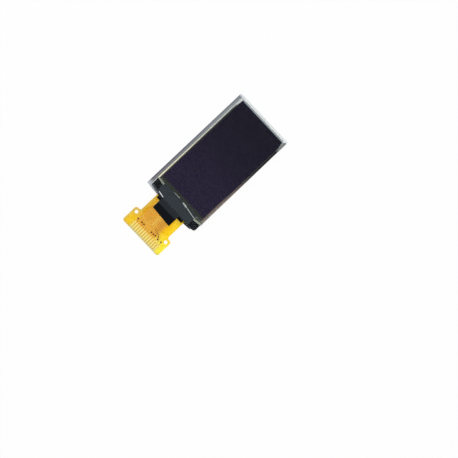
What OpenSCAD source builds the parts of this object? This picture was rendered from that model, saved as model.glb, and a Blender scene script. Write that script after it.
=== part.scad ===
// Passive-matrix OLED display module with a solder-type flex tail.
// It lies on the back of its cap glass, with the display face up (+Z) and the flex pointing to -Y.
// The origin is the centre of the cap's back face. Millimetres.

/* [Glass] */
// Width of both glass plates
glass_w = 14.4; // [13.4:0.1:18]
// Length of the cap glass
cap_l = 26.2; // [22:0.1:34]
// Thickness of the cap glass
cap_t = 0.55; // [0.5:0.01:0.7]
// Length of the ledge that the substrate has beyond the cap
ledge_l = 3; // [2.8:0.1:4]
// Thickness of the substrate glass
sub_t = 0.55; // [0.4:0.01:0.7]

/* [Sealed cavity] */
// Width of the cap's rim around its cavity
cap_rim = 0.7; // [0.6:0.05:1]
// Depth of the cavity
cavity_d = 0.25; // [0.2:0.01:0.3]
// Corner radius of the cavity
cavity_r = 0.35; // [0.2:0.05:0.8]
// Width of the ultraviolet-cured seal on the rim
seal_w = 0.55; // [0.4:0.05:0.58]
// Thickness of the seal
seal_t = 0.02; // [0.02:0.005:0.04]

/* [Desiccant bead] */
// Width of the dispensed bead
bead_w = 1.15; // [0.9:0.05:1.25]
// Height of the bead's crown
bead_h = 0.13; // [0.08:0.01:0.15]
// Distance between the centre lines of neighbouring turns
bead_pitch = 1.33; // [1.3:0.01:1.5]
// Radius of the centre line in the corners
bead_r = 1; // [0.8:0.05:1.3]
// Centre line to cavity wall on the left
bead_left = 1.6; // [1.2:0.05:2]
// Centre line to cavity wall on the right
bead_right = 1.95; // [1.2:0.05:2.2]
// Centre line to cavity wall at the far end
bead_far = 1.15; // [1:0.05:2]
// Centre line to cavity wall at the ledge end
bead_near = 2.4; // [1.2:0.05:2.6]
// How far the bead's start lies short of its first corner on the right
bead_lead = 1; // [0.6:0.05:2]
// Length of the pointed end where the nozzle lifted off
bead_taper = 2.2; // [1:0.1:3]
// Gap from the pointed end to the last crossing turn
bead_stop = 2.1; // [1.5:0.1:4]

/* [Pixel matrix] */
// Pixel pitch both ways
pixel_pitch = 0.17; // [0.15:0.005:0.2]
// Gap between neighbouring electrode strips
strip_gap = 0.02; // [0.02:0.005:0.04]
// Thickness of each thin film, drawn thicker than life
film_t = 0.01; // [0.008:0.001:0.01]
// Least distance from the matrix to the cavity's side walls
matrix_side = 1.05; // [0.8:0.05:1.5]
// Least distance from the matrix to the cavity's end walls
matrix_end = 1.5; // [1:0.05:2]

/* [Polariser and protective film] */
// Thickness of the polariser
pol_t = 0.2; // [0.15:0.01:0.3]
// Glass left bare beside and beyond the polariser
pol_margin = 0.4; // [0.2:0.05:0.8]
// How far the polariser reaches over the ledge
pol_ledge = 0.35; // [0.1:0.05:0.6]
// Corner radius of the polariser
pol_r = 0.25; // [0.1:0.05:0.8]
// Thickness of the protective film
cover_film_t = 0.06; // [0.05:0.01:0.1]
// Overhang of the protective film on the left
cover_left = 0.9; // [0:0.1:2]
// Overhang of the protective film on the right
cover_right = 0.1; // [0:0.1:2]
// Overhang of the protective film at the far end
cover_far = 0.3; // [0:0.1:2]
// Radius of the protective film's far left corner
cover_r = 0.5; // [0.2:0.05:1]

/* [Driver chip] */
// Width of the driver chip
chip_w = 6.8; // [6:0.1:8]
// Length of the driver chip across the ledge
chip_l = 0.9; // [0.7:0.05:1]
// Thickness of the driver chip
chip_t = 0.3; // [0.2:0.01:0.32]
// Gap between the cap and the chip
chip_gap = 0.45; // [0.3:0.05:0.5]
// Gap between the chip and the flex
chip_flex_gap = 0.4; // [0.3:0.05:0.5]
// Thickness of the conductive bond films
bond_t = 0.01; // [0.008:0.001:0.012]
// How far the chip's bond film squeezes out around it
bond_squeeze = 0.12; // [0.05:0.01:0.15]
// Number of output traces from the chip to the matrix
output_n = 40; // [20:2:60]
// Width of an output trace
output_w = 0.06; // [0.03:0.01:0.08]

/* [Flex] */
// Sideways offset of the flex from the middle of the glass
flex_x = -0.2; // [-0.5:0.05:0.5]
// Width of the neck
neck_w = 8.8; // [8.2:0.1:9.6]
// Length of the neck outside the glass
neck_l = 5.3; // [4.8:0.1:9]
// Width of the head
head_w = 11.4; // [11:0.1:12.4]
// Length of the head
head_l = 4.4; // [4.2:0.1:6]
// Radius of the head's outer corners
head_r = 0.6; // [0.3:0.05:0.8]
// Radius of the fillets between neck and head
shoulder_r = 0.5; // [0.2:0.05:0.6]
// Thickness of the polyimide base
base_t = 0.04; // [0.025:0.005:0.06]
// Thickness of each copper foil
foil_t = 0.02; // [0.018:0.001:0.03]
// Thickness of each coverlay above the foil
coverlay_t = 0.03; // [0.025:0.005:0.05]
// Diameter of the locating holes
hole_d = 0.8; // [0.6:0.05:0.9]
// Distance from a locating hole's centre to the head's side
hole_side = 0.95; // [0.8:0.05:1.15]
// Distance from a locating hole's centre to the shoulder
hole_back = 0.9; // [0.7:0.05:1.2]

/* [Contacts and traces] */
// Pitch of the contacts
pitch = 0.62; // [0.55:0.01:0.64]
// Sideways offset of the contacts on the flex
pins_x = 0.4; // [-0.4:0.05:0.4]
// Width of a contact
contact_w = 0.34; // [0.25:0.01:0.4]
// Length of a contact
contact_l = 2; // [1.6:0.1:2.1]
// Gold plating on a contact's faces
plating_t = 0.005; // [0.003:0.001:0.008]
// Diameter of the plated barrel that joins a contact's two faces
barrel_d = 0.16; // [0.1:0.02:0.2]
// Distance from the ends of the contacts to the row of vias
via_back = 0.6; // [0.4:0.05:0.6]
// Distance from the glass to the row of vias at the root
root_via = 0.5; // [0.4:0.05:0.6]
// Diameter of a via
via_d = 0.26; // [0.2:0.02:0.3]
// Width of a signal trace
trace_w = 0.14; // [0.1:0.01:0.2]
// Pitch of the traces along the neck
lane_pitch = 0.44; // [0.4:0.01:0.44]
// Sideways offset of the traces on the neck
lanes_x = -0.4; // [-0.4:0.05:0.4]
// Length over which the traces fan out from the lanes to the contacts
fan_l = 1.2; // [0.8:0.05:1.2]
// Width of the supply strip on the back
supply_w = 1.25; // [0.6:0.05:1.3]

/* [Tapes and sealant] */
// Thickness of both tapes
tape_t = 0.08; // [0.05:0.01:0.1]
// Left end of the front tape, from the glass edge
band_left = 1.9; // [1:0.1:3]
// Right end of the front tape, from the glass edge
band_right = 2.05; // [1:0.1:3]
// How far the front tape overlaps the polariser
band_lap = 0.3; // [0.2:0.05:0.8]
// Gap between the glass and the front coverlay
coverlay_gap = 0.05; // [0.03:0.01:0.1]
// Width of the front tape's tab
tab_w = 5.6; // [4:0.1:7]
// Sideways offset of the tab
tab_x = -0.4; // [-0.6:0.05:0.6]
// Length of the tab past the glass
tab_l = 3.2; // [2:0.1:4]
// Length over which the tab slopes from the glass down to the flex
tab_slope = 1.2; // [0.8:0.05:1.6]
// Gap between the rear tape and the cap
rear_gap = 0.08; // [0.05:0.01:0.2]
// Width of the rear tape's lip where it leaves the glass
lip_w = 8.2; // [6:0.1:8.2]
// Length of the rear tape's lip past the glass
lip_l = 0.45; // [0.2:0.05:0.8]
// Radius of the rear tape's rounded corner
rear_r = 1.2; // [0.5:0.05:1.5]
// Width of the rear tape's middle, which reaches up to the cap
rear_mid_w = 9.4; // [8.4:0.1:10]
// How far the rear tape's left end stops short of its middle
rear_short_left = 0.45; // [0.1:0.05:0.6]
// How far the rear tape's right end stops short of its middle
rear_short_right = 0.9; // [0.1:0.05:1]
// Depth of the torn notches in the rear tape's left end
tear = 0.4; // [0.1:0.05:0.6]
// Length that the rear tape takes to climb off the chip and the flex at their sides
drape = 0.9; // [0.6:0.05:1.1]
// Width of the black sealant at the root of the flex
root_w = 8; // [6:0.1:8.4]
// How far the sealant reaches along the flex
root_l = 0.7; // [0.4:0.05:0.7]
// Height of the sealant on the end of the glass
root_h = 0.36; // [0.2:0.02:0.38]
// Thickness of the sealant at its thin edges
root_lip = 0.03; // [0.02:0.01:0.05]

/* [Hidden] */
$fn = 48;
// The pinout: thirteen contacts, of which the first list's change sides at a via, and one is the supply
pins = 13;
signal_vias = [0, 2, 3, 7, 8, 12];
supply_pin = 9;
vias = concat(signal_vias, [supply_pin]);
CONTACTS = [for (i = [1 : pins]) str("contact_", i)];
// How far a cutting body reaches past the faces that it cuts
eps = 0.01;

// Places along Y, from the far end of the glass to the tip of the flex
y_far = cap_l / 2;
y_cap = -cap_l / 2;
y_pol = y_cap - pol_ledge;
y_band = y_pol + band_lap;
y_chip = y_cap - chip_gap - chip_l / 2;
y_flex_end = y_chip - chip_l / 2 - chip_flex_gap;
y_edge = y_cap - ledge_l;
y_head = y_edge - neck_l;
y_tip = y_head - head_l;
y_contact = y_tip + contact_l;
y_via = y_contact + via_back;
y_fan = y_via + via_d / 2;
y_root_via = y_edge - root_via;
y_coverlay = y_edge - coverlay_gap;

// Heights of the glass, the polariser and the thin films
z_floor = cap_t - cavity_d;
z_sub = cap_t + seal_t;
z_front = z_sub + sub_t;
z_pol = z_front + pol_t;
z_cover = z_pol + tape_t;
z_trace = z_sub - film_t;
z_bond = z_trace - bond_t;
z_chip = z_bond - chip_t;

// Heights of the flex's layers, from its front copper, which meets the bond film, to its back
z_base = z_bond - foil_t;
z_base_back = z_base - base_t;
z_back_foil = z_base_back - foil_t;
z_flex_back = z_back_foil - coverlay_t;
z_flex_front = z_bond + coverlay_t;

// The cavity, and the matrix as the whole pixels that fit it
cavity_w = glass_w - 2 * cap_rim;
cavity_l = cap_l - 2 * cap_rim;
columns = floor((cavity_w - 2 * matrix_side) / pixel_pitch);
rows = floor((cavity_l - 2 * matrix_end) / pixel_pitch);
matrix_w = columns * pixel_pitch - strip_gap;
matrix_l = rows * pixel_pitch - strip_gap;

// Middle of a contact, and of its line along the neck
function pin_x(i) = flex_x + pins_x + (i - (pins - 1) / 2) * pitch;
function lane_x(i) = flex_x + lanes_x + (i - (pins - 1) / 2) * lane_pitch;
function has_via(i) = len(search(i, vias)) > 0;

module place(x, y, z) {
    translate([x, y, z]) children();
}

// A rectangle about the origin with round corners
module round_rect(w, l, r) {
    square([w - 2 * r, l], center = true);
    square([w, l - 2 * r], center = true);
    for (x = [-1, 1], y = [-1, 1]) {
        translate([x * (w / 2 - r), y * (l / 2 - r)]) circle(r);
    }
}

// A rectangle between two corners
module span(x0, y0, x1, y1) {
    translate([x0, y0]) square([x1 - x0, y1 - y0]);
}

// A slab between two heights over a 2-D outline
module slab(z0, z1) {
    place(0, 0, z0) linear_extrude(z1 - z0) children();
}

// A side profile drawn in Y and Z, carried along X
module along_x(x0, x1) {
    place(x0, 0, 0) rotate([90, 0, 90]) linear_extrude(x1 - x0) children();
}

// An end profile drawn in X and Z, carried along Y
module along_y(y0, y1) {
    place(0, y1, 0) rotate([90, 0, 0]) linear_extrude(y1 - y0) children();
}

module substrate_glass() {
    color("lightcyan", 0.6) slab(z_sub, z_front) span(-glass_w / 2, y_edge, glass_w / 2, y_far);
}

module cap_glass() {
    color("aliceblue", 0.6) difference() {
        slab(0, cap_t) square([glass_w, cap_l], center = true);
        slab(z_floor, cap_t + eps) round_rect(cavity_w, cavity_l, cavity_r);
    }
}

module seal_frame() {
    color("olive") slab(cap_t, z_sub) difference() {
        round_rect(cavity_w + 2 * seal_w, cavity_l + 2 * seal_w, cavity_r + seal_w);
        round_rect(cavity_w, cavity_l, cavity_r);
    }
}

// Desiccant bead: a domed section swept along a two-turn rectangular spiral
bead_corner_steps = 6;
bead_end_steps = 5;
bead_dome_steps = 8;
// Share of its full section that the bead has left at its two ends
bead_end_share = 0.06;
bead_curve = (bead_w * bead_w / 4 + bead_h * bead_h) / (2 * bead_h);
bead_half_angle = asin(bead_w / 2 / bead_curve);

// A ring of the sweep is its centre, its heading and its share of the full section
function bead_corner(x, y, from) = [
    for (k = [0 : bead_corner_steps])
        let (a = from + 90 * k / bead_corner_steps)
        [x + bead_r * cos(a), y + bead_r * sin(a), a + 90, 1]
];

// Left along the far end, down the left, along the ledge end, then up the right to the next turn
function bead_turn(x0, x1, y0, y1) = concat(
    bead_corner(x0 + bead_r, y1 - bead_r, 90),
    bead_corner(x0 + bead_r, y0 + bead_r, 180),
    bead_corner(x1 - bead_r, y0 + bead_r, 270)
);

// The round blob where the nozzle started, heading left
function bead_start(x, y) = [
    for (k = [0 : bead_end_steps])
        let (a = 90 * k / bead_end_steps)
        [x + bead_w / 2 * cos(a), y, 180, max(sin(a), bead_end_share)]
];

// The drawn-out point where the nozzle lifted off, heading up
function bead_point(x, y) = [
    for (k = [0 : bead_end_steps])
        let (t = k / bead_end_steps)
        [x, y - bead_taper * (1 - t), 90, max(1 - t * t, bead_end_share)]
];

function bead_ring(ring) = [
    for (j = [0 : bead_dome_steps])
        let (
            a = bead_half_angle * (2 * j / bead_dome_steps - 1),
            side = bead_curve * sin(a) * ring[3],
            up = max(bead_curve * cos(a) - bead_curve + bead_h, 0) * ring[3]
        )
        [ring[0] - side * sin(ring[2]), ring[1] + side * cos(ring[2]), z_floor + up]
];

module sweep_bead(rings) {
    last = len(rings) - 1;
    side_n = bead_dome_steps + 1;
    points = [for (ring = rings) each bead_ring(ring)];
    sides = [
        for (i = [0 : last - 1], j = [0 : side_n - 1])
            let (k = (j + 1) % side_n)
            [i * side_n + j, i * side_n + k, (i + 1) * side_n + k, (i + 1) * side_n + j]
    ];
    ends = [
        [for (j = [side_n - 1 : -1 : 0]) j],
        [for (j = [0 : side_n - 1]) last * side_n + j]
    ];
    polyhedron(points, concat(sides, ends), convexity = 6);
}

module desiccant_bead() {
    x0 = -cavity_w / 2 + bead_left;
    x1 = cavity_w / 2 - bead_right;
    y0 = -cavity_l / 2 + bead_near;
    y1 = cavity_l / 2 - bead_far;
    // The far end and the right side of the second turn
    inner_y1 = y1 - bead_pitch;
    inner_x1 = x1 - bead_pitch;
    color("ivory") sweep_bead(concat(
        bead_start(x1 - bead_lead, y1),
        bead_turn(x0, x1, y0, y1),
        bead_corner(x1 - bead_r, inner_y1 - bead_r, 0),
        bead_turn(x0 + bead_pitch, inner_x1, y0 + bead_pitch, inner_y1),
        bead_point(inner_x1, inner_y1 - bead_stop)
    ));
}

// Electrodes and the organic layer, under the substrate
module anode_lines() {
    color("lightsteelblue") for (i = [0 : columns - 1]) {
        place(i * pixel_pitch - matrix_w / 2, -matrix_l / 2, z_trace)
            cube([pixel_pitch - strip_gap, matrix_l, film_t]);
    }
}

module organic_layer() {
    color("darkslategray") slab(z_trace - film_t, z_trace)
        square([matrix_w + pixel_pitch, matrix_l + pixel_pitch], center = true);
}

module cathode_strips() {
    color("tan") for (i = [0 : rows - 1]) {
        place(-matrix_w / 2, i * pixel_pitch - matrix_l / 2, z_trace - 2 * film_t)
            cube([matrix_w, pixel_pitch - strip_gap, film_t]);
    }
}

// Traces that fan out from the chip to the cap, and those that join it to the flex
module ledge_traces() {
    chip_step = (chip_w - 2 * output_w) / (output_n - 1);
    matrix_step = matrix_w / (output_n - 1);
    half = output_w / 2;
    color("silver") slab(z_trace, z_sub) {
        for (i = [0 : output_n - 1]) {
            x0 = (i - (output_n - 1) / 2) * chip_step;
            x1 = (i - (output_n - 1) / 2) * matrix_step;
            polygon([
                [x0 - half, y_chip + chip_l / 4], [x0 + half, y_chip + chip_l / 4],
                [x0 + half, y_chip + chip_l / 2], [x1 + half, y_cap],
                [x1 - half, y_cap], [x0 - half, y_chip + chip_l / 2]
            ]);
        }
        for (i = [0 : pins - 1]) {
            span(lane_x(i) - trace_w / 2, y_edge, lane_x(i) + trace_w / 2, y_chip - chip_l / 4);
        }
    }
}

module polariser() {
    w = glass_w - 2 * pol_margin;
    l = y_far - pol_margin - y_pol;
    color("midnightblue") place(0, y_pol + l / 2, 0) slab(z_front, z_pol) round_rect(w, l, pol_r);
}

// Clear film: flat on the polariser, then up onto the front tape and free over the ledge
module protective_film() {
    x0 = -glass_w / 2 - cover_left;
    x1 = glass_w / 2 + cover_right;
    y1 = y_far + cover_far;
    y_lift = y_band + band_lap;
    color("whitesmoke", 0.4) intersection() {
        along_x(x0, x1) polygon([
            [y_edge, z_cover], [y_band, z_cover], [y_lift, z_pol], [y1, z_pol],
            [y1, z_pol + cover_film_t], [y_lift, z_pol + cover_film_t],
            [y_band, z_cover + cover_film_t], [y_edge, z_cover + cover_film_t]
        ]);
        slab(0, 2 * z_cover) {
            span(x0 + cover_r, y_edge, x1, y1);
            span(x0, y_edge, x1, y1 - cover_r);
            translate([x0 + cover_r, y1 - cover_r]) circle(cover_r);
        }
    }
}

module driver_chip() {
    color("dimgray") place(0, y_chip, 0) slab(z_chip, z_bond) square([chip_w, chip_l], center = true);
}

module chip_bond_film() {
    color("peru") place(0, y_chip, 0) slab(z_bond, z_trace)
        square([chip_w + 2 * bond_squeeze, chip_l + 2 * bond_squeeze], center = true);
}

module flex_bond_film() {
    color("peru") slab(z_bond, z_trace)
        span(flex_x - neck_w / 2, y_edge, flex_x + neck_w / 2, y_flex_end);
}

// Outline of the flex: round-cornered head, filleted shoulders, and a neck that ends at y1
module flex_outline(y1) {
    span(flex_x - neck_w / 2, y_tip + head_r, flex_x + neck_w / 2, y1);
    translate([flex_x, y_tip + head_l / 2]) round_rect(head_w, head_l, head_r);
    for (side = [-1, 1]) {
        translate([flex_x + side * neck_w / 2, y_head]) scale([side, 1]) shoulder_fillet();
    }
}

// Fillet in the inner corner at the origin, between the +X and +Y directions
module shoulder_fillet() {
    difference() {
        translate([-eps, -eps]) square(shoulder_r + eps);
        translate([shoulder_r, shoulder_r]) circle(shoulder_r);
    }
}

module locating_holes_2d() {
    for (side = [-1, 1]) {
        translate([flex_x + side * (head_w / 2 - hole_side), y_head - hole_back]) circle(d = hole_d);
    }
}

// One line of foil: straight along its lane, then across the fan to its contact's place
module line_2d(x0, x1, lane_w, y0, y3) {
    half = trace_w / 2;
    polygon([
        [x0 - lane_w / 2, y0], [x0 - lane_w / 2, y_fan + fan_l], [x1 - half, y_fan], [x1 - half, y3],
        [x1 + half, y3], [x1 + half, y_fan], [x0 + lane_w / 2, y_fan + fan_l], [x0 + lane_w / 2, y0]
    ]);
}

module via_pads_2d() {
    for (i = vias) {
        translate([pin_x(i), y_via]) circle(d = via_d);
        translate([lane_x(i), y_root_via]) circle(d = via_d);
    }
}

// Front foil: lines that stay in front, and for the others a stub at each end, as far as its via
module front_foil_2d() {
    via_pads_2d();
    for (i = [0 : pins - 1]) {
        if (has_via(i)) {
            span(pin_x(i) - trace_w / 2, y_contact, pin_x(i) + trace_w / 2, y_via);
            span(lane_x(i) - trace_w / 2, y_root_via, lane_x(i) + trace_w / 2, y_flex_end);
        } else {
            line_2d(lane_x(i), pin_x(i), trace_w, y_flex_end, y_contact);
        }
    }
}

// Back foil: the lines that change sides, from via to via, and the broad supply strip
module back_foil_2d() {
    via_pads_2d();
    for (i = signal_vias) {
        line_2d(lane_x(i), pin_x(i), trace_w, y_root_via, y_via);
    }
    line_2d(lane_x(supply_pin + 1), pin_x(supply_pin), supply_w, y_root_via - via_d, y_via);
}

module front_foil() {
    color("chocolate") slab(z_base, z_bond) front_foil_2d();
}

module back_foil() {
    color("chocolate") slab(z_back_foil, z_base_back) back_foil_2d();
}

module via_posts() {
    color("sienna") for (i = vias) {
        place(pin_x(i), y_via, z_base_back) cylinder(d = via_d, h = base_t);
        place(lane_x(i), y_root_via, z_base_back) cylinder(d = via_d, h = base_t);
    }
}

// A contact: a gold finger on each face, joined by a plated barrel through the base
module contact(i) {
    x0 = pin_x(i) - contact_w / 2;
    x1 = pin_x(i) + contact_w / 2;
    color("gold") {
        slab(z_base, z_bond + plating_t) span(x0, y_tip, x1, y_contact);
        slab(z_back_foil - plating_t, z_base_back) span(x0, y_tip, x1, y_contact);
        place(pin_x(i), (y_tip + y_contact) / 2, z_base_back) cylinder(d = barrel_d, h = base_t);
    }
}

module flex_base() {
    color("orange") slab(z_base_back, z_base) difference() {
        flex_outline(y_flex_end);
        locating_holes_2d();
        via_pads_2d();
        for (i = [0 : pins - 1]) {
            translate([pin_x(i), (y_tip + y_contact) / 2]) circle(d = barrel_d);
        }
    }
}

// Coverlay outline up to y1, with the locating holes and the window that bares the contacts
module coverlay_2d(y1) {
    difference() {
        flex_outline(y1);
        locating_holes_2d();
        span(pin_x(0) - pitch / 2, y_tip - eps, pin_x(pins - 1) + pitch / 2, y_contact);
    }
}

module front_coverlay() {
    color("gold", 0.7) {
        slab(z_bond, z_flex_front) coverlay_2d(y_coverlay);
        slab(z_base, z_bond) difference() {
            coverlay_2d(y_coverlay);
            front_foil_2d();
        }
    }
}

module back_coverlay() {
    color("gold", 0.7) {
        slab(z_flex_back, z_back_foil) coverlay_2d(y_flex_end);
        slab(z_back_foil, z_base_back) difference() {
            coverlay_2d(y_flex_end);
            back_foil_2d();
        }
    }
}

// Front tape: from the polariser's edge, down onto the ledge, and by its tab down to the flex
module front_tape() {
    x0 = -glass_w / 2 + band_left;
    x1 = glass_w / 2 - band_right;
    y_step = y_pol - pol_t;
    y_slope = y_edge - tab_slope;
    y_tab = y_edge - tab_l;
    color("darkslategray") intersection() {
        along_x(x0, x1) polygon([
            [y_band, z_pol], [y_pol, z_pol], [y_step, z_front], [y_edge, z_front],
            [y_slope, z_flex_front], [y_tab, z_flex_front],
            [y_tab, z_flex_front + tape_t], [y_slope, z_flex_front + tape_t],
            [y_edge, z_front + tape_t], [y_step, z_front + tape_t],
            [y_pol, z_pol + tape_t], [y_band, z_pol + tape_t]
        ]);
        slab(0, 2 * z_cover) {
            span(x0, y_edge, x1, y_band);
            span(tab_x - tab_w / 2, y_tab, tab_x + tab_w / 2, y_edge + eps);
        }
    }
}

// What the rear tape is draped over: flat at height z between y0 and y1, and climbing at its sides
module tape_mould(x, w, z, y0, y1) {
    intersection() {
        place(x, 0, 0) along_y(y0 - 2 * drape, y1 + 2 * drape) polygon([
            [-w / 2 - drape, z_trace], [-w / 2, z], [w / 2, z], [w / 2 + drape, z_trace]
        ]);
        along_x(x - w, x + w) polygon([
            [y0 - drape, z_trace], [y0, z], [y1, z], [y1 + drape, z_trace]
        ]);
    }
}

module chip_mould() {
    tape_mould(0, chip_w, z_chip, y_chip - chip_l / 2, y_cap);
}

module flex_mould() {
    tape_mould(flex_x, neck_w, z_flex_back, y_edge - 2 * lip_l, y_flex_end);
}

// Outline of the rear tape: torn at its left end, one round corner, and a lip past the glass
module rear_tape_2d() {
    x1 = glass_w / 2;
    y_mid = y_cap - rear_gap;
    y_left = y_mid - rear_short_left;
    y_right = y_mid - rear_short_right;
    third = (y_left - y_edge) / 3;
    difference() {
        union() {
            polygon([
                [-x1, y_edge], [x1 - rear_r, y_edge], [x1, y_edge + rear_r], [x1, y_right],
                [rear_mid_w / 2 + rear_short_right, y_right], [rear_mid_w / 2, y_mid],
                [-rear_mid_w / 2, y_mid], [-rear_mid_w / 2 - rear_short_left, y_left], [-x1, y_left]
            ]);
            translate([x1 - rear_r, y_edge + rear_r]) circle(rear_r);
            polygon([
                [flex_x - lip_w / 2, y_edge + eps], [flex_x - lip_w / 2 + lip_l, y_edge - lip_l],
                [flex_x + lip_w / 2 - lip_l, y_edge - lip_l], [flex_x + lip_w / 2, y_edge + eps]
            ]);
        }
        polygon([
            [-x1 - eps, y_edge - eps], [-x1 + tear, y_edge + third], [-x1 + tear / 2, y_edge + 1.5 * third],
            [-x1 + tear, y_edge + 2 * third], [-x1 - eps, y_left - tear / 2]
        ]);
    }
}

module rear_tape() {
    color("black") difference() {
        intersection() {
            slab(0, z_trace) rear_tape_2d();
            union() {
                slab(z_trace - tape_t, z_trace) square(4 * cap_l, center = true);
                place(0, 0, -tape_t) chip_mould();
                place(0, 0, -tape_t) flex_mould();
            }
        }
        chip_mould();
        flex_mould();
    }
}

// Sealant: a hollow fillet between the end of the glass and the flex
module root_sealant() {
    chord = [root_l - root_lip, root_h - root_lip];
    curve = root_l + root_h;
    reach = sqrt(curve * curve - (chord * chord) / 4) / norm(chord);
    color("black") place(0, y_edge, z_flex_front) along_x(flex_x - root_w / 2, flex_x + root_w / 2)
        difference() {
            translate([-root_l, 0]) square([root_l, root_h]);
            translate([
                -(root_l + root_lip) / 2 - reach * chord[1],
                (root_h + root_lip) / 2 + reach * chord[0]
            ]) circle(curve, $fn = 180);
        }
}

substrate_glass();
cap_glass();
seal_frame();
desiccant_bead();
anode_lines();
organic_layer();
cathode_strips();
ledge_traces();
polariser();
protective_film();
driver_chip();
chip_bond_film();
flex_bond_film();
flex_base();
front_foil();
back_foil();
via_posts();
front_coverlay();
back_coverlay();
front_tape();
rear_tape();
root_sealant();
for (i = [0 : pins - 1]) {
    contact(i);
}
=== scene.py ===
"""Looks for a passive-matrix OLED display module.

Two glass plates, thin films, tapes and an amber flex tail, dressed on the fixed CAD frame.
"""

import math

import bmesh
import bpy
from mathutils import Matrix, Vector, noise


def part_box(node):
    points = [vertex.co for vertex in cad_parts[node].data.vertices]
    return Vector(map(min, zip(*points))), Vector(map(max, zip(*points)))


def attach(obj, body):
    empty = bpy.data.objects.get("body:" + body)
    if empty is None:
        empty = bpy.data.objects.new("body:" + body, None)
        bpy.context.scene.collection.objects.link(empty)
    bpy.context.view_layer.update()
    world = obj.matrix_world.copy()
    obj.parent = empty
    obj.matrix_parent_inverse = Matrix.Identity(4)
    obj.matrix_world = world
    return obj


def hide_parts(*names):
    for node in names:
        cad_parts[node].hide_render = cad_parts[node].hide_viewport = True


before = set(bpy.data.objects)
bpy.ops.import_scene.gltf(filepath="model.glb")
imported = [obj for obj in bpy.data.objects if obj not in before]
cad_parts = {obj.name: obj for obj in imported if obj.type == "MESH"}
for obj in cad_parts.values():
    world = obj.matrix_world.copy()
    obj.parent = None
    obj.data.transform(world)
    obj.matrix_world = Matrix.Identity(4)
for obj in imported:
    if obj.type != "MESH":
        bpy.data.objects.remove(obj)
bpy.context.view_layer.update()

bl_info = {
    "name": "OLED Display Module",
    "version": (1, 0, 0),
    "blender": (4, 5, 0),
    "location": "View3D > Sidebar > Module",
    "description": "Dresses a glass display module, its tapes and its amber flex tail",
    "category": "Object",
}

MM = 0.001
TINY = 1e-6
BODY = "root"


def corners(node):
    """Lowest and highest corner of a CAD node, in millimetres."""
    return [Vector(corner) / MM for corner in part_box(node)]


GLASS_LOW, GLASS_HIGH = corners("substrate_glass")
CAP_LOW = corners("cap_glass")[0]
POL_LOW, POL_HIGH = corners("polariser")
FILM_LOW, FILM_HIGH = corners("protective_film")
BAND_LOW, BAND_HIGH = corners("front_tape")
REAR_LOW, REAR_HIGH = corners("rear_tape")
CHIP_LOW, CHIP_HIGH = corners("driver_chip")
BASE_LOW, BASE_HIGH = corners("flex_base")
BEAD_LOW = corners("desiccant_bead")[0]

CONTACTS = [f"contact_{i}" for i in range(1, 14)]
PIN_FIRST, PIN_LAST = corners(CONTACTS[0]), corners(CONTACTS[-1])
PIN_PITCH = (PIN_LAST[0].x - PIN_FIRST[0].x) / (len(CONTACTS) - 1)
PIN_ROOT = PIN_FIRST[1].y


# Shader maths ---------------------------------------------------------------


class Value:
    """A number socket, so that shader maths reads as plain expressions."""

    def __init__(self, nodes, socket):
        self.nodes, self.socket = nodes, socket

    def __add__(self, other):
        return self.nodes.math("ADD", self, other)

    def __sub__(self, other):
        return self.nodes.math("SUBTRACT", self, other)

    def __rsub__(self, other):
        return self.nodes.math("SUBTRACT", other, self)

    def __mul__(self, other):
        return self.nodes.math("MULTIPLY", self, other)

    def __truediv__(self, other):
        return self.nodes.math("DIVIDE", self, other)

    def __rtruediv__(self, other):
        return self.nodes.math("DIVIDE", other, self)

    def __abs__(self):
        return self.nodes.math("ABSOLUTE", self)

    __radd__, __rmul__ = __add__, __mul__


class Nodes:
    """Writes shader nodes into a tree, which it empties first."""

    def __init__(self, tree):
        self.tree = tree
        tree.nodes.clear()

    def node(self, kind, settings=None, inputs=None):
        """Adds a node: its settings first, then the values or links of its sockets."""
        made = self.tree.nodes.new(kind)
        for key, value in (settings or {}).items():
            setattr(made, key, value)
        for key, value in (inputs or {}).items():
            socket = made.inputs[key]
            value = getattr(value, "socket", value)
            if isinstance(value, bpy.types.NodeSocket):
                self.tree.links.new(value, socket)
            else:
                socket.default_value = (*value, 1) if socket.type == "RGBA" else value
        return made

    def split(self, vector):
        parts = self.node("ShaderNodeSeparateXYZ", inputs={0: vector})
        return [Value(self, socket) for socket in parts.outputs]

    def math(self, operation, *values):
        made = self.node("ShaderNodeMath", {"operation": operation}, dict(enumerate(values)))
        return Value(self, made.outputs[0])

    def step(self, value, low, high):
        """Rises smoothly from 0 at low to 1 at high; falls if low is the larger."""
        made = self.node(
            "ShaderNodeMapRange",
            {"interpolation_type": "SMOOTHSTEP"},
            {"Value": value, "From Min": low, "From Max": high},
        )
        return Value(self, made.outputs[0])

    def seen(self):
        """1 for rays from the camera, straight, mirrored or let through."""
        rays = self.node("ShaderNodeLightPath").outputs
        names = ("Is Camera Ray", "Is Glossy Ray", "Is Transmission Ray")
        straight, mirrored, through = (Value(self, rays[name]) for name in names)
        return self.math("MINIMUM", straight + mirrored + through, 1)


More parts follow.
